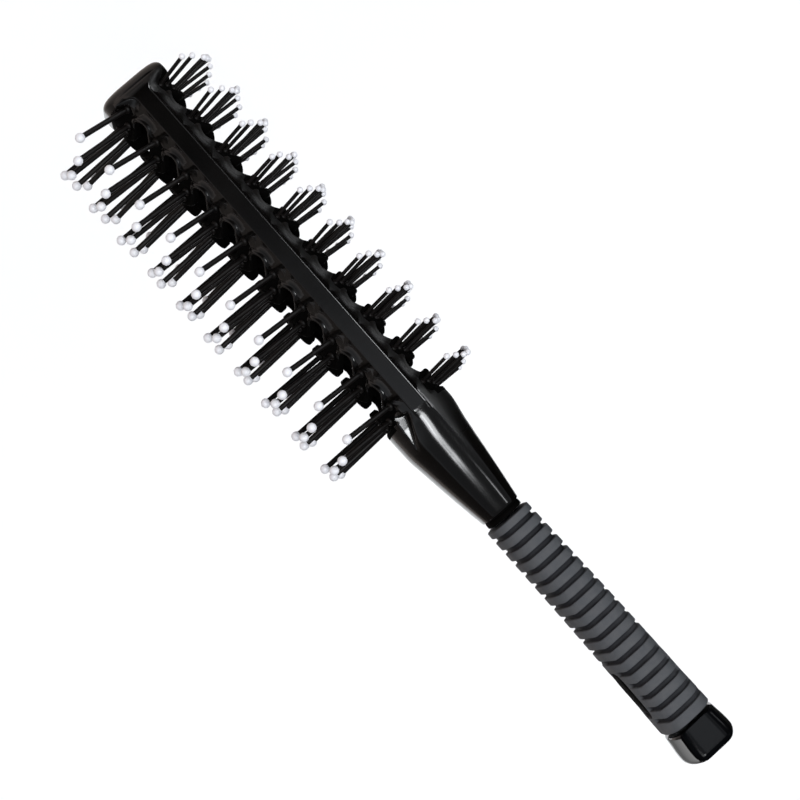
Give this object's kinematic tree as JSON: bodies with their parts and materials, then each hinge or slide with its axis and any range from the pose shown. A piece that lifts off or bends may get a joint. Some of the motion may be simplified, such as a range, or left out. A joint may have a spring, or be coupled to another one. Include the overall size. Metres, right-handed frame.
{
  "type": "double-sided vent hair brush",
  "caption": "Hand brush with a hollow vented head, rows of long ball-tipped pins on one face and short ones on the other, and a ribbed rubber grip.",
  "frame": {"origin": "middle of the flat end of the handle", "axes": "+X along the brush from the handle's end to the head, +Y out of the face with the long pins, +Z out of one of the head's two rails"},
  "size_m": [0.2344, 0.0512, 0.0404],
  "materials": {
    "black_gloss": "polished black moulding",
    "black_satin": "satin black moulding with white ball tips on its pins",
    "grey_rubber": "matte dark grey rubber with ribs"
  },
  "bodies": {
    "root": {"handle_frame": "black_gloss", "head_end_cap": "black_satin", "grip_sleeve": "grey_rubber", "handle_end_cap": "black_gloss", "long_pin_row_01": "black_satin", "long_pin_row_02": "black_satin", "long_pin_row_03": "black_satin", "long_pin_row_04": "black_satin", "long_pin_row_05": "black_satin", "long_pin_row_06": "black_satin", "long_pin_row_07": "black_satin", "long_pin_row_08": "black_satin", "long_pin_row_09": "black_satin", "long_pin_row_10": "black_satin", "short_pin_row_01": "black_satin", "short_pin_row_02": "black_satin", "short_pin_row_03": "black_satin", "short_pin_row_04": "black_satin", "short_pin_row_05": "black_satin", "short_pin_row_06": "black_satin", "short_pin_row_07": "black_satin", "short_pin_row_08": "black_satin", "short_pin_row_09": "black_satin", "short_pin_row_10": "black_satin"}
  },
  "joints": []
}
